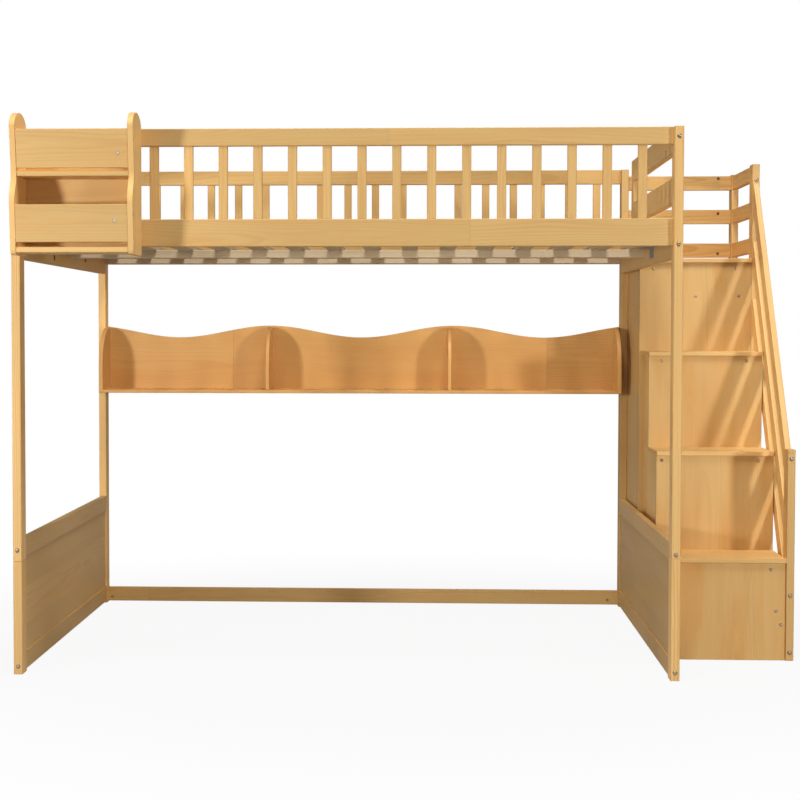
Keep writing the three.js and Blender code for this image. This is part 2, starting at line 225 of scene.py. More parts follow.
def staves(tree, along, across, length, width, seed):
    """Row = across / width + seed. Place in the row = (along + the fingers' zigzag) / length + a random
    start. Rounded down, they pick three random numbers for that length. Also gives a mask of glue lines."""
    row_place = across / width + seed
    row = row_place.maths("FLOOR")
    row_start = dice(tree, "2D", {"Vector": joined(tree, row, seed, 0.0)}) * 7.0
    fingers = ((across / FINGER_PITCH).maths("FRACT") - 0.5).maths("ABSOLUTE") * FINGER_LENGTH
    length_place = (along + fingers) / length + row_start
    stave_colour = dice(tree, "3D", {"Vector": joined(tree, row, length_place.maths("FLOOR"), seed)}, 1)
    length_gap = ((length_place - 0.5).maths("FRACT") - 0.5).maths("ABSOLUTE") * length
    row_gap = ((row_place - 0.5).maths("FRACT") - 0.5).maths("ABSOLUTE") * width
    seam = (1 - length_gap.above(*LENGTH_SEAM)).maths("MAXIMUM", 1 - row_gap.above(*STAVE_SEAM))
    return parts_of(tree, stave_colour), seam


print("fingers:", round(FINGER_LENGTH * 500), "mm deep")

# %% Knots
KNOT_CELL = (0.34, 0.075)  # metres along and across: at most one branch grew out in such a cell
KNOT_OVAL = (0.26, 0.075, 0.0)  # cells back to metres, with less along the grain, so that knots are oval
KNOT_RADIUS, KNOT_VARIETY, KNOT_RAGGED = 0.0022, 0.0052, 0.0026  # metres
KNOT_CHANCE = (0.985, 0.01)  # only cells with a random number above this hold a knot


def knots(tree, along, across, luck_a, luck_b, seed):
    """Knot = where the distance from a cell's middle, made ragged, is under the knot's radius.
    Swirl = (1 - 0.22 distance / radius) squared: the grain that bends round it."""
    cell_place = joined(tree, along / KNOT_CELL[0] + luck_a * 9.0,
                        across / KNOT_CELL[1] + luck_b * 5.0, seed)
    cells = node(tree, "ShaderNodeTexVoronoi", {"voronoi_dimensions": "2D"},
                 {"Vector": cell_place, "Scale": 1.0, "Randomness": 0.9}).socket.node
    away = vector_maths(tree, "SUBTRACT", cell_place, Wire(tree, cells.outputs["Position"]))
    away = vector_maths(tree, "MULTIPLY", away, KNOT_OVAL)
    distance = vector_maths(tree, "LENGTH", away, (0, 0, 0), 1)
    chance, size_luck, _ = parts_of(tree, Wire(tree, cells.outputs["Color"]))
    ragged = noise(tree, joined(tree, along * 160.0, across * 160.0, seed)) * KNOT_RAGGED
    reach = (distance + ragged) / (size_luck * KNOT_VARIETY + KNOT_RADIUS)
    present = chance.above(*KNOT_CHANCE)
    knot = (1 - reach.above(1.0, 0.35)) * present
    swirl = ((1 - reach * 0.22).maths("MAXIMUM", 0.0) ** 2.0) * present
    return knot, swirl


print("knot cells:", *KNOT_CELL, "m")

# %% Growth rings
RING_WIDTH, RING_VARIETY = 0.0036, 0.0042  # metres: the narrowest rings, and how much wider they get


def growth_rings(tree, along, y, z, luck, swirl, seed):
    """Radius = root of (y y + z z), with a slow and a fine wandering, a taper along the trunk and the swirl
    round knots. In each ring width the wood darkens slowly to late wood and drops back at once."""
    wander = noise(tree, joined(tree, along * 1.7 + luck * 11.0, y * 9.0, z * 9.0), 2.0)
    flutter = noise(tree, joined(tree, along * 6.0, y * 60.0, z * 60.0), 1.0)
    radius = (y * y + z * z) ** 0.5 + wander * 0.030 + flutter * 0.0012 + along * 0.012 + swirl * 0.010
    ring_place = radius / (luck * RING_VARIETY + RING_WIDTH)
    ring = ring_place.maths("FRACT")
    ring_luck = dice(tree, "1D", {"W": ring_place.maths("FLOOR") + seed})
    return ring.above(0.30, 0.58) * (1 - ring.above(0.93, 0.06)) * (ring_luck * 0.8 + 0.2)


print("ring width:", RING_WIDTH, "to", round(RING_WIDTH + RING_VARIETY, 4), "m")

# %% Pine finish
KNOT_BROWN = (96, 56, 28)


def pine_finish(name, early, late, stain, deep=KNOT_BROWN, ring_contrast=0.40, gloss=0.48, coat=0.08,
                cloud=1.0):
    """Early wood, blended layer by layer with late wood, a stain and a deep brown: rings, fibres, clouds,
    resin ducts, knots, edges, end grain and glue lines. All of it is scaled by the tone of the board."""
    material, tree = empty_finish(name)
    early, late, stain, deep = (paint(*colour) for colour in (early, late, stain, deep))
    along, across, through = parts_of(tree, attribute(tree, "timber"))
    stave_length, stave_width, seed = parts_of(tree, attribute(tree, "stave"))
    tone, edge, end_grain = parts_of(tree, attribute(tree, "finish"))
    (luck_a, luck_b, luck_c), seam = staves(tree, along, across, stave_length, stave_width, seed)
    knot, swirl = knots(tree, along, across, luck_a, luck_b, seed)

    # Each stave comes from its own place beside the pith
    y = across + (luck_b - 0.5) * 0.11
    z = through + luck_c * 0.05
    late_wood = growth_rings(tree, along, y, z, luck_a, swirl, seed)

    # Fine fibres, resin ducts and slow drifts of colour
    fibre = noise(tree, joined(tree, along * 9.0, y * 620.0, z * 620.0), 3.0, 0.6)
    ducts = noise(tree, joined(tree, along * 70.0, y * 1100.0, z * 1100.0), 1.0).above(0.70, 0.06)
    drift = noise(tree, joined(tree, along * 1.3 + luck_c * 5.0, y * 10.0, z * 10.0), 3.0)
    blush = noise(tree, joined(tree, along * 3.1, y * 17.0, z * 17.0 + luck_a * 3.0), 2.0)

    layers = (
        (late_wood * ring_contrast, late), ((fibre - 0.5).maths("ABSOLUTE") * 0.45, late),
        (drift.above(0.40, 0.34) * (0.26 * cloud), late), (blush.above(0.46, 0.30) * (0.42 * cloud), stain),
        (ducts * 0.14, deep), (swirl * 0.40, late), (knot * 0.85, deep),
        # eased edges darken: partly wear of the lacquer, partly painted shade along the lines where boards
        # meet
        (edge * 0.34, late), (end_grain * 0.42, late), (seam * 0.24, deep),
    )
    colour = early
    for share, tint in layers:
        colour = blended(tree, share, colour, tint)

    # Each board and each stave is a little lighter or darker than the next
    level = tone + (luck_a - 0.5) * 0.07 + (luck_c - 0.5) * 0.05
    colour = node(tree, "ShaderNodeVectorMath", {"operation": "SCALE"}, {0: colour, "Scale": level})

    height = fibre * 0.35 + late_wood * 0.45 - ducts * 0.6 - seam * 1.2 - knot * 0.4
    bump = node(tree, "ShaderNodeBump", None, {"Height": height, "Strength": 0.16, "Distance": 0.0004})
    roughness = gloss + (fibre - 0.5) * 0.16 - late_wood * 0.05 + end_grain * 0.14 + knot * 0.1
    shader = node(tree, "ShaderNodeBsdfPrincipled", None, {
        "Base Color": colour, "Roughness": roughness, "Normal": bump,
        "Coat Weight": coat, "Coat Roughness": 0.25, "Specular IOR Level": 0.30})
    node(tree, "ShaderNodeOutputMaterial", None, {0: shader})
    return material


honey_pine = pine_finish("honey_pine", (231, 190, 123), (204, 150, 82), (228, 172, 97))
warm_pine = pine_finish("warm_pine", (222, 170, 100), (194, 136, 70), (214, 154, 84))
flamed_pine = pine_finish("flamed_pine", (231, 190, 123), (204, 150, 82), (222, 164, 90),
                          ring_contrast=0.28, cloud=1.9)
streaky_pine = pine_finish("streaky_pine", (234, 193, 126), (200, 142, 74), (232, 178, 100),
                           ring_contrast=0.72)
raw_pine = pine_finish("raw_pine", (226, 205, 170), (198, 166, 122), (214, 180, 136),
                       deep=(92, 66, 44), gloss=0.72, coat=0.0)
print("finishes:", honey_pine.name, warm_pine.name, flamed_pine.name, streaky_pine.name, raw_pine.name)

# %% [markdown]
# ## Zinc-plated steel
# The bolts and screws are plated steel, a warm grey with a faint brushed mottle, and the
# barrel nuts are bronzed. Part of the steel's warmth is a painted reflection of the pine round
# it, and the nuts' dark bronze also paints in the shade of the holes they sit in. A metal has
# no colour of its own beside its reflection, so the metallic value is high and the variety is
# in the roughness. The two screws in the rack's front are paler and duller, so they aren't
# metallic. Round each head lies a thin dark ring of painted shade, for the shadowed wall of the
# hole that the head sits in.

# %% Steel finish
MOTTLE = (420.0, 420.0, 420.0)  # patches to the metre
SCRATCHES = (2600.0, 2600.0, 300.0)  # scratches to the metre, long in the third direction


def steel_finish(name, light, dark, metal=1.0, rough=0.26):
    """Plated steel: two greys mixed by a fine noise, with the same noise in the roughness."""
    material, tree = empty_finish(name)
    place = node(tree, "ShaderNodeTexCoord", None, None, OBJECT_PLACE)
    mottle = noise(tree, vector_maths(tree, "MULTIPLY", place, MOTTLE), 3.0)
    scratch = noise(tree, vector_maths(tree, "MULTIPLY", place, SCRATCHES), 1.0)
    colour = blended(tree, mottle.above(0.35, 0.3), paint(*dark), paint(*light))
    bump = node(tree, "ShaderNodeBump", None, {"Height": scratch, "Strength": 0.08, "Distance": 0.0002})
    shader = node(tree, "ShaderNodeBsdfPrincipled", None, {
        "Base Color": colour, "Roughness": mottle * 0.22 + rough, "Normal": bump, "Metallic": metal})
    node(tree, "ShaderNodeOutputMaterial", None, {0: shader})
    return material


# The steel's warm tint is partly a painted reflection of the pine round it.
zinc_steel = steel_finish("zinc_steel", (232, 214, 196), (160, 132, 106))
blue_steel = steel_finish("blue_steel", (168, 176, 196), (120, 128, 150), 0.8, 0.34)
# Dark bronze for the nuts, which also paints in the shade of the holes they sit in.
bronze_and_hole_shade = steel_finish("bronze_and_hole_shade", (112, 80, 54), (66, 44, 30), 0.6, 0.4)
bright_steel = steel_finish("bright_steel", (246, 238, 228), (206, 190, 172), 0.0, 0.45)
# A thin ring of painted shade round each head, for the shadowed wall of the hole it sits in.
painted_seat_shade = steel_finish("painted_seat_shade", (104, 66, 38), (78, 48, 26), 0.0, 0.6)
print("finishes:", zinc_steel.name, blue_steel.name, bronze_and_hole_shade.name, bright_steel.name)

# %% [markdown]
# ## One board, sawn and planed
# Nearly every piece of this bed is one shape: an outline carried straight through a length,
# with its long corners and its ends eased by sandpaper. So one class makes them all. A
# rail is a small rectangle carried along its length. A shaped side is a curved outline
# carried through its thickness. Real timber has no razor edges, and the thin band of light
# along an eased edge is what makes a render look like wood, so the rounding is real geometry.

# %% Outlines
BAND = 0.0004  # flat strip kept beside each rounded edge, so that the faces shade flat, metres
ROUND_STEPS = 3  # how many short faces make a rounded edge
SHARP_TURN = 0.3  # radians: a smaller turn in an outline belongs to a curve and isn't rounded


def softened(outline, radius):
    """Rounds the sharp corners of a closed outline. Each corner P becomes the curve
    (1-s)(1-s) A + 2s(1-s) P + s s B between a point A before it and a point B after it.
    Returns the points and, for each, 1 where it lies on a rounded corner."""
    points = np.asarray(outline, float)
    before, after = np.roll(points, 1, 0) - points, np.roll(points, -1, 0) - points
    before_length, after_length = np.linalg.norm(before, axis=1), np.linalg.norm(after, axis=1)
    before, after = before / before_length[:, None], after / after_length[:, None]
    turn = np.pi - np.arccos(np.clip((before * after).sum(1), -1, 1))
    room = 0.45 * np.minimum(before_length, after_length) - BAND
    reach = np.where(turn > SHARP_TURN, np.minimum(radius * np.tan(turn / 2), room), 0.0)
    share = np.linspace(0, 1, ROUND_STEPS + 1)[None, :, None]
    first, last = points + before * reach[:, None], points + after * reach[:, None]
    curve = ((1 - share) ** 2 * first[:, None] + 2 * share * (1 - share) * points[:, None]
             + share ** 2 * last[:, None])
    lead = (points + before * (reach + BAND)[:, None])[:, None]
    trail = (points + after * (reach + BAND)[:, None])[:, None]
    curve = np.concatenate([lead, curve, trail], axis=1)
    keep, rounded = np.zeros(curve.shape[:2], bool), np.zeros(curve.shape[:2])
    keep[reach > 0] = keep[:, 1] = True
    rounded[reach > 0, 1:-1] = 1
    return curve[keep], rounded[keep]


def rectangle(width, height):
    """The four corners of a sawn stick, seen from its end."""
    return np.array([[0, 0], [width, 0], [width, height], [0, height]], float)


def skin(count, levels):
    """Faces of a tube of so many levels with count points each: four-sided faces from each level to the
    next, and a cap at both ends."""
    ring = np.arange(count)
    low = (np.arange(levels - 1)[:, None] * count + ring[None]).reshape(-1)
    high = (np.arange(levels - 1)[:, None] * count + np.roll(ring, -1)[None]).reshape(-1)
    quads = np.stack([low, high, high + count, low + count], 1)
    return quads, [ring[::-1], ring + (levels - 1) * count]


print("corner of a rail:", len(softened(rectangle(0.05, 0.02), 0.0024)[0]), "points round")

# %% Boards
EASE, END_EASE = 0.0024, 0.0011  # how far long edges and sawn ends are eased, metres
WHOLE = 50.0  # a length or width that no board reaches, so it has no joint that way
SOLID = (WHOLE, WHOLE)  # a single length of a single width


class Board:
    """A closed solid: an outline carried along a straight path, with eased ends. Point = start + u * across
    + v * up + h * path, where the outline (u, v) is drawn in by the ease at both ends of the path."""

    def __init__(self, outline, start, across, up, length, grain, flat, ease, stave=SOLID, tone=1.0):
        flat_outline, on_corner = softened(outline, ease)
        end_ease = min(END_EASE, 0.68 * ease - BAND)  # a deeper inset would turn the corners inside out
        edges = np.roll(flat_outline, -1, 0) - flat_outline
        normals = np.stack([-edges[:, 1], edges[:, 0]], 1) / np.linalg.norm(edges, axis=1)[:, None]
        before = np.roll(normals, 1, 0)
        inward = (before + normals) / (1 + (before * normals).sum(1))[:, None]
        angle = np.linspace(0, np.pi / 2, ROUND_STEPS + 1)
        inset = np.concatenate([[end_ease + BAND], end_ease * (1 - np.sin(angle)), [0.0]])
        height = np.concatenate([[0.0], end_ease * (1 - np.cos(angle)), [end_ease + BAND]])
        inset = np.concatenate([inset, inset[::-1]])
        height = np.concatenate([height, length - height[::-1]])
        one_end = [0.0] + [1.0] * len(angle) + [0.0]
        rings = flat_outline[None] + inward[None] * inset[:, None, None]
        self.points = (start + rings[..., :1] * across + rings[..., 1:] * up
                       + height[:, None, None] * np.cross(across, up)).reshape(-1, 3)
        edge = np.maximum(np.array(one_end + one_end)[:, None], on_corner[None])
        edge[[0, -1]] = 0  # the flat end faces keep the colour of the board
        self.edge = edge.reshape(-1)
        self.quads, self.caps = skin(len(flat_outline), len(height))
        self.grain, self.flat, self.stave, self.tone = grain, flat, stave, tone

    def timber(self, luck):
        """Place in the log: along the grain, across the face and through it, moved to a random spot."""
        side = np.cross(self.flat, self.grain)
        centre = (self.points.max(0) + self.points.min(0)) / 2
        own = (self.points - centre) @ np.stack([self.grain, side, self.flat], 1)
        spot = np.array([luck.uniform(0, 40), luck.uniform(-0.035, 0.035), luck.uniform(0.02, 0.09)])
        return own + spot


print("board maker ready")

# %% Boards into pieces
TONE_LUCK = 0.035  # share by which a board may come out lighter or darker than its tone
END_GRAIN = (0.6, 0.3)  # a surface shows end grain when it faces this much along the grain


def dress(part, boards, finish, seed):
    """Joins boards into one mesh with the attributes that the finish reads, and puts it in the place of a
    measured part. The seed picks their wood."""
    name, stands_for = part + ".pine", [part]
    luck = np.random.default_rng(seed)
    faces, timber, stave, finish_values, base = [], [], [], [], 0
    for board in boards:
        count = len(board.points)
        timber.append(board.timber(luck))
        stave.append(np.tile([*board.stave, luck.uniform(0, 60)], (count, 1)))
        tone = board.tone * (1 + luck.uniform(-TONE_LUCK, TONE_LUCK))
        finish_values.append(np.stack([np.full(count, tone), board.edge, np.zeros(count)], 1))
        faces += (board.quads + base).tolist() + [(cap + base).tolist() for cap in board.caps]
        base += count
    points = np.concatenate([board.points for board in boards])
    grain = np.concatenate([np.tile(board.grain, (len(board.points), 1)) for board in boards])
    mesh = bpy.data.meshes.new(name)
    mesh.from_pydata(points.tolist(), [], faces)
    mesh.update()
    normals = np.zeros(len(points) * 3)
    mesh.vertices.foreach_get("normal", normals)
    facing = np.abs((normals.reshape(-1, 3) * grain).sum(1))
    finish_values = np.concatenate(finish_values)
    finish_values[:, 2] = np.clip((facing - END_GRAIN[0]) / END_GRAIN[1], 0, 1)
    for key, values in (("timber", timber), ("stave", stave), ("finish", [finish_values])):
        layer = mesh.attributes.new(key, "FLOAT_VECTOR", "POINT")
        layer.data.foreach_set("vector", np.concatenate(values).astype(np.float32).reshape(-1))
    mesh.polygons.foreach_set("use_smooth", np.ones(len(mesh.polygons), bool))
    mesh.materials.append(finish)
    piece = in_scene(name, mesh)
    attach(piece, "root")
    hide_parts(*stands_for)


print("each piece picks its wood by its own seed")

# %% Planks and panels
AXES = {"x": np.array([1.0, 0, 0]), "y": np.array([0, 1.0, 0]), "z": np.array([0, 0, 1.0])}
# The plane that an outline is drawn in, for a path along each axis: across, up
DRAWN_IN = {"x": ("y", "z"), "y": ("z", "x"), "z": ("x", "y")}
PANEL_EASE = 0.003  # metres


def plank(low, high, grain=None, ease=EASE, **more):
    """A plain board between two corners, its outline carried along its grain: its longest side, unless
    grain names another."""
    low = np.array(low, float)
    size = dict(zip("xyz", np.array(high, float) - low))
    grain = grain or max(size, key=size.get)
    across, up = DRAWN_IN[grain]
    flat = min((across, up), key=size.get)
    ease = min(ease, 0.24 * min(size.values()))
    return Board(rectangle(size[across], size[up]), low, AXES[across], AXES[up], size[grain],
                 AXES[grain], AXES[flat], ease, **more)


def panel(outline, axis, start, end, grain, flat=None, ease=PANEL_EASE, **more):
    """A shaped board: an outline in metres, drawn in the two other axes (Y-Z or X-Z), carried from start
    to end along one axis. An outline that runs clockwise is turned round first, so that its faces point
    outwards. Its wide face looks along that axis, unless flat names another."""
    across, up = DRAWN_IN[axis]
    outline = np.array(outline, float)
    if axis == "y":
        outline = outline[:, ::-1]
    following = np.roll(outline, -1, 0)
    if (outline[:, 0] * following[:, 1] - outline[:, 1] * following[:, 0]).sum() < 0:
        outline = outline[::-1]
    grain = AXES[grain] if isinstance(grain, str) else grain
    return Board(outline, AXES[axis] * start, AXES[across], AXES[up], end - start, grain,
                 AXES[flat or axis], ease, **more)


def box_of(name):
    """Lowest and highest corner of a measured part."""
    low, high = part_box(name)
    return np.array(low), np.array(high)


print("points of a plank:", len(plank((0, 0, 0), (0.05, 0.02, 1.0)).points))

# %% [markdown]
# ## The bed frame
# Four corner posts stand at the corners, and the side rails, end boards and a stretcher are
# bolted between them. These are solid sticks, most of them glued up from shorter lengths
# with finger joints, which the maker uses because a long knot-free length of pine is dear.
# Each front post is two lengths that meet end to end, a third of a metre above the floor.

# %% Posts, rails and end boards
JOINTED = (0.74, WHOLE)  # finger-jointed lengths, full width, metres
WIDE = (WHOLE, 0.118)  # a panel of wide staves
GLUE = 0.0001  # the glue line between two lengths that meet end to end

sticks = {  # how each one is glued up, and its tone
    "post_front_left": (SOLID, 1.07), "post_front_right": (SOLID, 1.16),
    # the dark tones of the right back post and the back side rail partly paint in the shade they stand in
    "post_back_left": (JOINTED, 1.22), "post_back_right": (JOINTED, 0.80), "entry_post": (SOLID, 0.98),
    "side_rail_front": ((1.4, WHOLE), 0.95), "side_rail_back": ((1.1, WHOLE), 0.70),
    "stretcher_back": ((0.9, WHOLE), 0.94),
    "end_guard_upper_left": (JOINTED, 0.98), "end_guard_lower_left": (JOINTED, 0.98),
    "end_guard_upper_right": (JOINTED, 0.96), "end_guard_lower_right": (JOINTED, 1.08),
    "end_board_left": ((0.8, 0.058), 0.95), "end_board_right": ((0.8, 0.058), 0.95),
}
joint_up = {"post_front_left": 0.340, "post_front_right": 0.362}  # where its two lengths meet, metres
for number, (part, (stave, tone)) in enumerate(sticks.items()):
    low, high = box_of(part)
    in_two = part in joint_up
    cuts = [low[2], joint_up[part], high[2]] if in_two else [low[2], high[2]]
    boards = [plank((low[0], low[1], bottom), (high[0], high[1], top - GLUE * (top < high[2])),
                    stave=stave, tone=tone) for bottom, top in zip(cuts[:-1], cuts[1:])]
    dress(part, boards, streaky_pine if in_two else honey_pine, seed=number)
print("frame boards:", len(sticks))

# %% [markdown]
# ## Guards and slats
# Each guard is a lacquered top rail with spindles let into its underside and standing on
# the side rail. The slats lie on two ledgers screwed inside the side rails, and on a beam
# laid flat along the middle. Slats, ledgers and beam are planed but not lacquered, so they are
# paler and duller than the rest.

# %% Guards
TOP_RAIL, SPINDLE, SPINDLE_THICK, SPINDLES = 0.052, 0.027, 0.016, 18
TENON = 0.001  # how far a spindle is let into the top rail, metres
guards = {"guard_front": (0.94, 1.00), "guard_back": (0.82, 0.86)}  # tones: top rail, spindles
for number, (part, (rail_tone, spindle_tone)) in enumerate(guards.items()):
    low, high = box_of(part)
    under = high[2] - TOP_RAIL
    boards = [plank((low[0], low[1], under), high, stave=(1.3, WHOLE), tone=rail_tone)]
    gap = (high[0] - low[0] - SPINDLES * SPINDLE) / (SPINDLES + 1)
    face = (low[1] + high[1] - SPINDLE_THICK) / 2
    for index in range(SPINDLES):
        x = low[0] + gap + index * (gap + SPINDLE)
        boards.append(plank((x, face, low[2]), (x + SPINDLE, face + SPINDLE_THICK, under + TENON),
                            tone=spindle_tone))
    dress(part, boards, honey_pine, seed=44 + number)
print("spindles:", len(guards) * SPINDLES)

# %% Slat deck
LEDGER, BEAM_WIDTH, SLAT, SLAT_THICK, SLATS = 0.020, 0.057, 0.050, 0.018, 16
LET_IN, END_GAP = 0.002, 0.001  # slats sunk into their bearers, and kept off the bearers' ends, metres
low, high = box_of("slat_deck")
seat, middle = high[2] - SLAT_THICK + LET_IN, (low[1] + high[1]) / 2
bearers = ((low[1], LEDGER, LEDGER), (high[1] - LEDGER, LEDGER, LEDGER),
           (middle - BEAM_WIDTH / 2, BEAM_WIDTH, seat - low[2]))  # near edge, width, depth
boards = [plank((low[0], near, seat - deep), (high[0], near + width, seat), tone=0.88)
          for near, width, deep in bearers]
places = np.linspace(low[0] + END_GAP, high[0] - END_GAP - SLAT, SLATS)
boards += [plank((x, low[1], high[2] - SLAT_THICK), (x + SLAT, high[1], high[2]), tone=0.85)
           for x in places]
dress("slat_deck", boards, raw_pine, seed=50)
print("slats:", len(places))

# %% [markdown]
# ## Panelled ends
# Low down, each end is closed by a frame and panel: two rails with a thin panel in a groove.
# The groove leaves the panel free to move with the weather.

# %% Lower ends
FRAME_EASE, SHEET_EASE = 0.0012, 0.0006  # metres: barely eased, so that the joints close tightly
# The right panel's darker tone also paints in the shade on its inner face.
sheet_tones = {"left": 0.92, "right": 0.77}
for number, (side, sheet_tone) in enumerate(sheet_tones.items()):
    for step, level, tone in ((1, "upper", 0.90), (0, "lower", 0.84)):
        part = f"end_panel_rail_{level}_{side}"
        board = plank(*box_of(part), ease=FRAME_EASE, stave=JOINTED, tone=tone)
        dress(part, [board], honey_pine, seed=60 + 2 * number + step)
    part = "end_panel_sheet_" + side
    board = plank(*box_of(part), ease=SHEET_EASE, stave=WIDE, tone=sheet_tone)
    dress(part, [board], honey_pine, seed=66 + number)
print("panelled ends:", len(sheet_tones))

# %% [markdown]
# ## The hanging rack
# The rack's two sides are sawn to a curve: a round head, a waist above the lower pocket and
# a belly that stands forward round it. The curve is half an ellipse for the head and one
# cubic curve for the waist, drawn once and carried through the board's thickness. The front
# boards lean with the sides.

# %% Curves
def ellipse(centre, half_width, half_height, start, end, count):
    """Points at centre + (half width * cos a, half height * sin a) for a from start to end."""
    angle = np.linspace(start, end, count)
    return np.stack([centre[0] + half_width * np.cos(angle), centre[1] + half_height * np.sin(angle)], 1)


def cubic(a, b, c, d, count):
    """The cubic curve (1-s)^3 a + 3s(1-s)^2 b + 3s^2(1-s) c + s^3 d."""
    s = np.linspace(0, 1, count)[:, None]
    return (1 - s) ** 3 * a + 3 * s * (1 - s) ** 2 * b + 3 * s ** 2 * (1 - s) * c + s ** 3 * d


print("curve helpers ready")

# %% Rack sides
side_low, side_high = box_of("rack_side_left")
back, foot = side_high[1], side_low[2]
# Where the front edge turns: how far forward of the back edge and how far above the foot, metres
TOP_REACH, WAIST_REACH, BELLY_REACH, FOOT_REACH = 0.154, 0.132, 0.159, 0.145
BELLY_UP, WAIST_UP, SHOULDER_UP, DOME, TOE = 0.148, 0.242, 0.370, 0.045, 0.010
TOE_CUT = 0.3  # the toe is cut through this share of its size, about where a round toe would pass


def rack_point(reach, height):
    """A point of the side, given forward of its back edge and above its foot."""
    return np.array([back - reach, foot + height])


bend = (WAIST_UP - BELLY_UP) / 2
head = ellipse(rack_point(TOP_REACH / 2, SHOULDER_UP), TOP_REACH / 2, DOME, 0, np.pi, 25)
waist = cubic(rack_point(WAIST_REACH, WAIST_UP), rack_point(WAIST_REACH, WAIST_UP - bend),
              rack_point(BELLY_REACH, BELLY_UP + bend), rack_point(BELLY_REACH, BELLY_UP), 13)
toe = np.array([rack_point(FOOT_REACH, TOE), rack_point(FOOT_REACH - TOE_CUT * TOE, TOE_CUT * TOE),
                rack_point(FOOT_REACH - TOE, 0)])
side_outline = np.concatenate([[rack_point(0, 0)], head, waist, toe])
rack_sides = {"rack_side_left": 1.12, "rack_side_right": 1.10}
for number, (part, tone) in enumerate(rack_sides.items()):
    low, high = box_of(part)
    dress(part, [panel(side_outline, "x", low[0], high[0], "z", tone=tone)], honey_pine, seed=70 + number)
print("rack side outline:", len(side_outline), "points")

# %% Rack boards
FRONT_THICK, SET_BACK, FRONT_EASE = 0.012, 0.002, 0.0022  # metres


def leaning(part, bottom, top, lower_turn, upper_turn, tone):
    """A front board between two heights, its face parallel to the straight line between two turns of the
    sides' front edge. A turn is (height, reach)."""
    low, high = box_of(part)
    slope = (upper_turn[1] - lower_turn[1]) / (upper_turn[0] - lower_turn[0])
    reach = [lower_turn[1] + slope * (up - lower_turn[0]) for up in (bottom, top)]
    corners = [rack_point(reach[0] - SET_BACK, bottom), rack_point(reach[1] - SET_BACK, top)]
    inner = [corner + np.array([FRONT_THICK, 0]) for corner in corners]
    outline = [corners[0], inner[0], inner[1], corners[1]]
    return panel(outline, "x", low[0], high[0], "x", "y", FRONT_EASE, tone=tone)


fronts = {
    "rack_front_lower": (0.0355, 0.144, (0.0, FOOT_REACH), (BELLY_UP, BELLY_REACH), 0.94),
    "rack_front_upper": (0.2505, 0.362, (WAIST_UP, WAIST_REACH), (SHOULDER_UP, TOP_REACH), 1.10),
}
for number, (part, measures) in enumerate(fronts.items()):
    dress(part, [leaning(part, *measures)], honey_pine, seed=72 + number)
# The rack's back is darker, which paints in the shade inside its pockets.
inner_boards = {"rack_back": 0.92, "rack_floor": 1.06, "rack_shelf": 1.06}
for number, (part, tone) in enumerate(inner_boards.items()):
    dress(part, [plank(*box_of(part), grain="x", tone=tone)], honey_pine, seed=74 + number)
print("rack boards:", len(fronts) + len(inner_boards))

# %% [markdown]
# ## The waved wall shelf
# The shelf's back is three lengths of wide board that meet end to end, sawn along one wave:
# height = mean - rise * cos(2 pi x / wave length), with a dip in the middle of each bay. The
# right length is given a darker tone: partly darker wood, partly painted shade at that end of
# the shelf. The upright boards are straight at the front and round over to the back in a
# quarter ellipse.

# %% Wall shelf
WAVE_MEAN, WAVE_RISE, WAVE_LENGTH, WAVE_EASE = 0.2265, 0.022, 0.684, 0.0012  # metres
WAVE_POINTS = 50  # to the metre
LEFT_JOINT, RIGHT_JOINT = -0.683, 0.491  # where the lengths of the back meet, metres
low, high = box_of("shelf_back")
middle = (low[0] + high[0]) / 2
lengths = (  # start, end and tone
    (low[0], LEFT_JOINT - GLUE, 0.93),
    (LEFT_JOINT, RIGHT_JOINT - GLUE, 0.95),
    # darker: partly its own wood, partly painted shade at the shelf's right end
    (RIGHT_JOINT, high[0], 0.74),
)
boards = []
for start, end, tone in lengths:
    x = np.linspace(end, start, 2 + round(WAVE_POINTS * (end - start)))
    wave = low[2] + WAVE_MEAN - WAVE_RISE * np.cos(2 * np.pi * (x - middle) / WAVE_LENGTH)
    outline = np.concatenate([[[start, low[2]], [end, low[2]]], np.stack([x, wave], 1)])
    boards.append(panel(outline, "y", low[1], high[1], "x", ease=WAVE_EASE, tone=tone))
dress("shelf_back", boards, warm_pine, seed=191)

ROUND_RISE, LAND = 0.138, 0.014  # the quarter ellipse's height, and the flat left behind it, metres
uprights = {"shelf_end_left": 0.97, "shelf_end_right": 0.96,
            "shelf_divider_1": 1.05, "shelf_divider_2": 1.05}
for number, (part, tone) in enumerate(uprights.items()):
    low, high = box_of(part)
    top, depth = high[2], high[1] - low[1] - LAND
    curve = ellipse((low[1] + depth, top - ROUND_RISE), depth, ROUND_RISE, np.pi / 2, np.pi, 21)
    outline = np.concatenate([[[low[1], low[2]], [high[1], low[2]], [high[1], top]], curve])
    dress(part, [panel(outline, "x", low[0], high[0], "z", tone=tone)], warm_pine, seed=81 + number)
dress("shelf_floor", [plank(*box_of("shelf_floor"), stave=(0.9, 0.09))], warm_pine, seed=86)
print("lengths in the shelf's back:", len(lengths), "uprights:", len(uprights))

# %% [markdown]
# ## The box stair
# The stair is a nest of boxes. Each riser runs on down to the floor as the wall between two
# compartments, each tread butts against the riser behind it, and shelves at the tread
# heights are housed in the side panels. The risers' grain runs upright, as the load does.

# %% Risers and treads
NOTCH = 0.028  # below the tread in front, the middle risers are this much narrower
riser_names = [f"riser_{number}" for number in (1, 2, 3, 4)]
tread_names = ["tread_1", "tread_2", "tread_3", "landing"]
risers, treads = [box_of(part) for part in riser_names], [box_of(part) for part in tread_names]
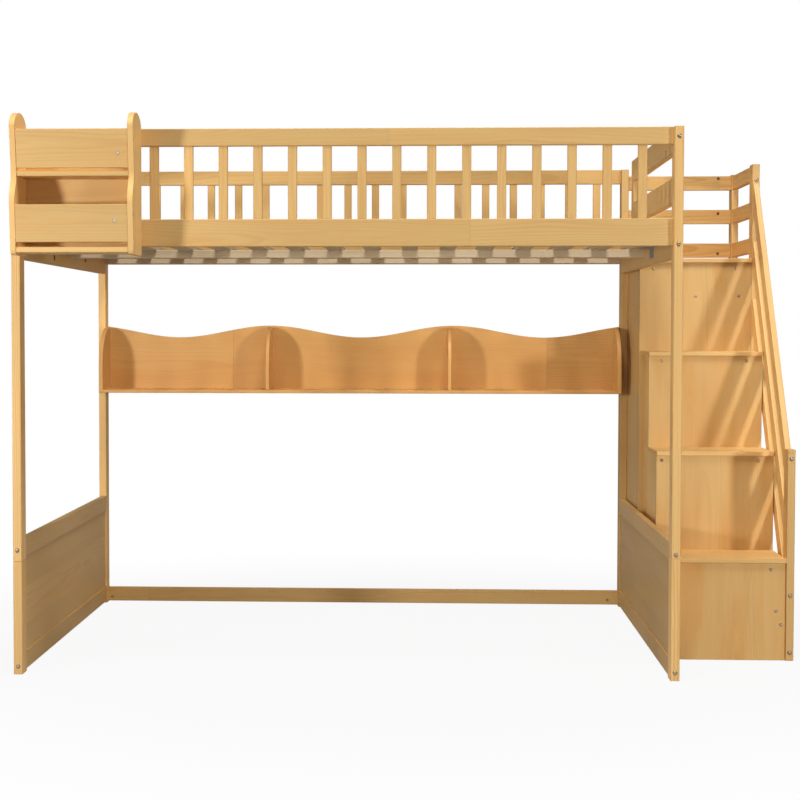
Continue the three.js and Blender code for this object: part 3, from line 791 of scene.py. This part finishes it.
# The upper treads' lower tones paint down the strong light that their nosings catch.
riser_tones, tread_tones = (1.14, 0.97, 0.91, 0.80), (1.17, 1.08, 0.98, 1.02)
for number, (low, high) in enumerate(risers):
    corners = [[low[0], low[2]], [high[0], low[2]], [high[0], high[2]], [low[0], high[2]]]
    if riser_names[number] in ("riser_2", "riser_3"):
        under = treads[number - 1][0][2]
        corners = [[low[0] + NOTCH, low[2]], *corners[1:], [low[0], under], [low[0] + NOTCH, under]]
    board = panel(corners, "y", low[1], high[1], "z", tone=riser_tones[number])
    dress(riser_names[number], [board], flamed_pine, seed=291 + number)
    board = plank(*treads[number], grain="x", tone=tread_tones[number])
    dress(tread_names[number], [board], honey_pine, seed=97 + number)
dress("stair_back", [plank(*box_of("stair_back"), stave=WIDE, tone=0.98)], honey_pine, seed=102)
print("risers:", len(risers), "treads:", len(treads))

# %% Side panels and compartments
INSET, PANEL_THICK, HOUSED = 0.013, 0.015, 0.002  # panel in from the risers' edge, shelf into the panel
stair_left, stair_right = risers[0][0][0], risers[0][1][0]
panel_near, panel_far = stair_left + INSET, stair_left + INSET + PANEL_THICK
join, landing_front = risers[3][0][1], risers[3][1][1]
case_back = box_of("stair_back")[0][1]


def stair_shelves(column, start):
    """The floor and the shelves of one column, at the heights of the lower treads."""
    front = risers[column - 1][1][1]
    behind = case_back if column == 4 else risers[column][0][1]
    floors = [0.0] + [treads[level][0][2] for level in range(column - 1)]
    return [plank((start - HOUSED, front, floor), (stair_right, behind, floor + PANEL_THICK), grain="x",
                  stave=(WHOLE, 0.1), tone=0.99) for floor in floors]


stepped = []
for column in range(3):
    front = risers[column][1][1]
    stepped += [[front, treads[column - 1][0][2] if column else 0.0], [front, treads[column][0][2]]]
stepped += [[join, treads[2][0][2]], [join, 0.0]]
side_panel = panel(stepped, "x", panel_near, panel_far, "z", stave=WIDE, tone=1.08)
shelves = [shelf for column in (1, 2, 3) for shelf in stair_shelves(column, panel_far)]
dress("stair_case_front", [side_panel, *shelves], honey_pine, seed=103)

top = treads[3][0][2]
outline = [[landing_front, 0], [case_back, 0], [case_back, top], [landing_front, top]]
landing_panel = panel(outline, "x", stair_left, stair_left + PANEL_THICK, "z", stave=WIDE, tone=0.92)
landing_shelves = stair_shelves(4, stair_left + PANEL_THICK)
dress("stair_case_landing", [landing_panel, *landing_shelves], honey_pine, seed=104)
print("stair compartments:", len(shelves) + len(landing_shelves))

# %% [markdown]
# ## Rails of the stair
# The newel, top post and corner post carry three slanted handrails and the short rails round
# the landing. A slanted rail is cut to upright ends against its posts, but its grain runs up
# the slope, so the finish is given that slope as its grain. Measured upright, a rail is
# root of (1 + slope squared) times as wide as square to its slope.

# %% Stair rails
HANDRAIL_WIDTH = 0.052  # metres, square to the slope
stair_posts = {"newel_post": 1.03, "stair_top_post": 0.96, "stair_corner_post": 0.96}
landing_rails = {f"landing_rail_{side}_{index}": tone for side, tone in (("back", 0.90), ("side", 0.96))
                 for index in (1, 2, 3)}
for number, (part, tone) in enumerate({**stair_posts, **landing_rails}.items()):
    board = plank(*box_of(part), stave=(0.9, WHOLE) if part in stair_posts else SOLID, tone=tone)
    dress(part, [board], streaky_pine, seed=110 + number)

slope = (treads[1][1][2] - treads[0][1][2]) / (risers[1][0][1] - risers[0][0][1])
run = np.array([0, 1.0, slope]) / math.hypot(1, slope)
upright = HANDRAIL_WIDTH * math.hypot(1, slope)
for number in (1, 2, 3):
    part = f"handrail_{number}"
    low, high = box_of(part)
    outline = [[low[1], low[2]], [high[1], high[2] - upright],
               [high[1], high[2]], [low[1], low[2] + upright]]
    dress(part, [panel(outline, "x", low[0], high[0], run, tone=1.02)], streaky_pine, seed=130 + number)
print("handrail slope:", round(slope, 3))

# %% [markdown]
# ## Bolts, barrel nuts and screws
# A bolt head is a low round button with a six-sided socket; the barrel nut that it pulls on
# shows as a flat disc, drawn with the same profile. Each is one surface of revolution: radius
# and height as a function of the step along a profile, turned round its axis, with the
# socket's radius following a hexagon.

# %% Heads of fixings
STEPS = 24  # points round a head
RIM_FACES = 2 * STEPS  # the first two bands of faces round a head are its ring of painted shade
# Radius and height along the profile from the rim inwards, as shares of the head's own
HEAD_PROFILE = ((1.26, -0.4), (1.22, 0.09), (1.03, 0.09), (1.0, 0.35), (0.93, 0.75), (0.80, 1.0),
                (0.60, 1.06))
# The same for the socket, as shares of the hexagon
SOCKET_PROFILE = ((1.08, 1.06), (1.0, 0.85), (1.0, -0.2), (0.4, -0.3))


def button(radius, height, socket):
    """A turned head: rings (radius, height) from the painted shade ring over the face into a six-sided
    socket.
    The hexagon's radius is socket * cos 30 / cos(angle within 60 degrees - 30)."""
    angle = np.linspace(0, 2 * np.pi, STEPS, endpoint=False)
    hexagon = math.cos(math.pi / 6) / np.cos((angle % (math.pi / 3)) - math.pi / 6)
    rings = []
    for profile, size in ((HEAD_PROFILE, radius), (SOCKET_PROFILE, socket * hexagon)):
        for r, h in profile:
            level = np.full(STEPS, h * height)
            rings.append(np.stack([r * size * np.cos(angle), r * size * np.sin(angle), level], 1))
    return np.concatenate(rings), *skin(STEPS, len(rings))


bolt, small_bolt, barrel_nut = (button(*sizes) for sizes in (
    (0.0054, 0.0016, 0.0022), (0.0042, 0.0012, 0.0017), (0.0085, 0.0014, 0.0030)))
print("points in a bolt head:", len(bolt[0]))

# %% Heads in their places
SHARP_EDGE = math.radians(35)
FORWARD, LEFTWARD, RIGHTWARD = (0, -1, 0), (-1, 0, 0), (1, 0, 0)  # the way a head looks


def fixings(name, shape, spots, facing, metal=zinc_steel):
    """Copies of one head at many spots, looking along facing, as one mesh. A spot is in millimetres from
    the bed's front left corner: to the right, back and up."""
    points, quads, caps = shape
    spots = np.array(spots, float) / 1000 - TO_MIDDLE
    turn = np.array(Vector(facing).to_track_quat("Z", "Y").to_matrix())
    placed = (points @ turn.T)[None] + spots[:, None]
    faces = []
    for base in range(0, placed.size // 3, len(points)):
        faces += (quads + base).tolist() + [(cap + base).tolist() for cap in caps]
    mesh = bpy.data.meshes.new(name)
    mesh.from_pydata(placed.reshape(-1, 3).tolist(), [], faces)
    mesh.materials.append(metal)
    mesh.materials.append(painted_seat_shade)
    mesh.update()
    mesh.set_sharp_from_angle(angle=SHARP_EDGE)
    # The first two bands of faces round each head take the painted shade.
    on_rim = np.tile(np.arange(len(quads) + len(caps)) < RIM_FACES, len(spots))
    mesh.polygons.foreach_set("material_index", on_rim.astype(np.int32))
    mesh.polygons.foreach_set("use_smooth", np.ones(len(mesh.polygons), bool))
    piece = in_scene(name, mesh)
    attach(piece, "root")


print("fixings look forward, left or right")

# %% Fixings in front
# The left post's two upper bolts are hidden behind the rack
post_bolts = {13.5: (24, 373), 1966.5: (24, 373, 1284, 1598)}  # across: heights, millimetres
riser_screws = {  # back: across and up, millimetres
    974: ((2020, 1246), (2301, 1247), (2165, 1152), (2313, 1152)),
    764: ((2022, 930), (2304, 930)),
    554: ((1997, 611), (2308, 611)),
    344: ((2311, 285), (2327, 156), (2343, 112)),
}
fixings("bolts_front_posts", bolt,
        [(x, 0, z) for x, heights in post_bolts.items() for z in heights], FORWARD)
fixings("bolts_stair_posts", bolt,
        [(2369.5, 338, 26), (2369.5, 338, 205), (2369.5, 338, 633), (2371, 974, 1552)], FORWARD)
fixings("screws_risers", small_bolt,
        [(x, y, z) for y, screws in riser_screws.items() for x, z in screws], FORWARD)
print("screws in the risers:", sum(len(screws) for screws in riser_screws.values()))

# %% Fixings behind and inside
UPPER_LEAN, LOWER_LEAN = (0, -1, -0.172), (0, -1, -0.095)  # the rack's front boards look a little down
fixings("nuts_landing_rails", small_bolt,
        [(x, 1399, z) for x in (2029, 2310) for z in (1594, 1465, 1317)], FORWARD, bronze_and_hole_shade)
fixings("nuts_end_boards_left", barrel_nut, [(27, 482, 1266), (27, 1000, 1281)], RIGHTWARD, bronze_and_hole_shade)
fixings("screws_shelf_right", small_bolt, [(1927, 1320, 844), (1927, 1320, 989)], LEFTWARD)
fixings("screws_shelf_left", small_bolt, [(42, 1320, 844), (42, 1320, 989)], RIGHTWARD)
fixings("bolts_upper_guard_right", bolt, [(1953, 188, 1568)], LEFTWARD)
fixings("screws_stretcher", small_bolt, [(45, 1399, 23), (1912, 1399, 23)], FORWARD)
fixings("screw_rack_upper", small_bolt, [(341.5, -117.6, 1542)], UPPER_LEAN, bright_steel)
fixings("screw_rack_lower", small_bolt, [(332.6, -131.1, 1346)], LOWER_LEAN, bright_steel)
fixings("screws_rack_side", small_bolt, [(387.5, -118.4, 1582), (387.5, -127, 1366)], RIGHTWARD)
print("fixings placed")

# %% [markdown]
# ## The steel angle
# One bent steel angle holds the last slat to the end board. The measured model already has
# its shape, so it only needs its finish.

# %% Steel angle
angle_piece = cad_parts["deck_bracket"]
angle_piece.data.materials.clear()
angle_piece.data.materials.append(blue_steel)
print("steel angle:", len(angle_piece.data.polygons), "faces")

# %% [markdown]
# ## Floor and light
# A product picture is lit by soft boxes: here a narrow one from each side in front, a large
# one overhead, and a pale room that fills the shadows. A weak lamp behind the bed lifts the
# back faces for views from there. The floor shows white to the camera far from the bed, and
# keeps the bed's shadow close to it. More lamp light would whiten the pine as well.

# %% Floor
FLOOR_GREY = (0.46, 0.46, 0.45, 1.0)
WHITE = (1, 1, 1, 1)
NEAR_WHITE, FAR_GAIN = 0.92, 0.08  # how white the camera sees the floor by the bed, and what it gains
FADE_FROM, FADE_OVER = 1.1, 1.5  # metres from the middle of the bed

floor_mesh = bpy.data.meshes.new("floor")
floor_mesh.from_pydata([(-30, -12, 0), (30, -12, 0), (30, 40, 0), (-30, 40, 0)], [], [(0, 1, 2, 3)])
floor = in_scene("floor", floor_mesh)
floor_finish, tree = empty_finish("pale_floor")
place = node(tree, "ShaderNodeTexCoord", None, None, OBJECT_PLACE)
from_bed = vector_maths(tree, "LENGTH", place, (0, 0, 0), 1)
path = node(tree, "ShaderNodeLightPath").socket.node
seen = Wire(tree, path.outputs["Is Camera Ray"])
whiteness = (from_bed.above(FADE_FROM, FADE_OVER) * FAR_GAIN + NEAR_WHITE) * seen
matt = node(tree, "ShaderNodeBsdfDiffuse", None, {"Color": FLOOR_GREY})
glow = node(tree, "ShaderNodeEmission", None, {"Color": WHITE, "Strength": 1.0})
node(tree, "ShaderNodeOutputMaterial", None,
     {0: node(tree, "ShaderNodeMixShader", None, {0: whiteness, 1: matt, 2: glow})})
floor_mesh.materials.append(floor_finish)
print("floor ready")

# %% Lamps
def soft_box(name, place, target, size, power, spread=180):
    """A square lamp of a size in metres and a power in watts that looks at a target. The spread of its
    beam is in degrees."""
    data = bpy.data.lights.new(name, "AREA")
    data.shape, data.size, data.energy, data.spread = "SQUARE", size, power, math.radians(spread)
    lamp = in_scene(name, data)
    lamp.location = place
    lamp.rotation_mode = "QUATERNION"
    lamp.rotation_quaternion = (Vector(target) - Vector(place)).to_track_quat("-Z", "Y")
    return lamp


soft_box("soft_box_left", (-3.75, -4.2, 1.1), (-0.75, 0.0, 1.0), 0.45, 16.5, 60)
soft_box("soft_box_right", (4.1, -5.0, 1.3), (1.05, 0.0, 0.95), 0.45, 15.2, 60)
soft_box("soft_box_top", (0.2, -1.5, 5.4), (0.0, 0.0, 1.0), 1.6, 228)
back_lamp = soft_box("soft_box_back", (-0.6, 6.0, 2.0), (0.0, 0.0, 0.9), 2.0, 55)
back_lamp.visible_glossy = False  # it only lifts the back faces, and puts no shine on the boards
print("lamps:", len(bpy.data.lights))

# %% Room
FILL, SEEN_GAIN = 0.12, 0.88  # how much the room lights the bed, and what the camera sees on top
room = bpy.data.worlds.new("room")
bpy.context.scene.world = room
room.use_nodes = True
tree = room.node_tree
tree.nodes.clear()
path = node(tree, "ShaderNodeLightPath").socket.node
seen = (Wire(tree, path.outputs["Is Camera Ray"]) + Wire(tree, path.outputs["Is Transmission Ray"])).maths(
    "MINIMUM", 1.0)
node(tree, "ShaderNodeOutputWorld", None,
     {0: node(tree, "ShaderNodeBackground", None, {0: WHITE, 1: FILL + seen * SEEN_GAIN})})
bpy.context.scene.view_settings.view_transform = "Standard"
print("room ready")
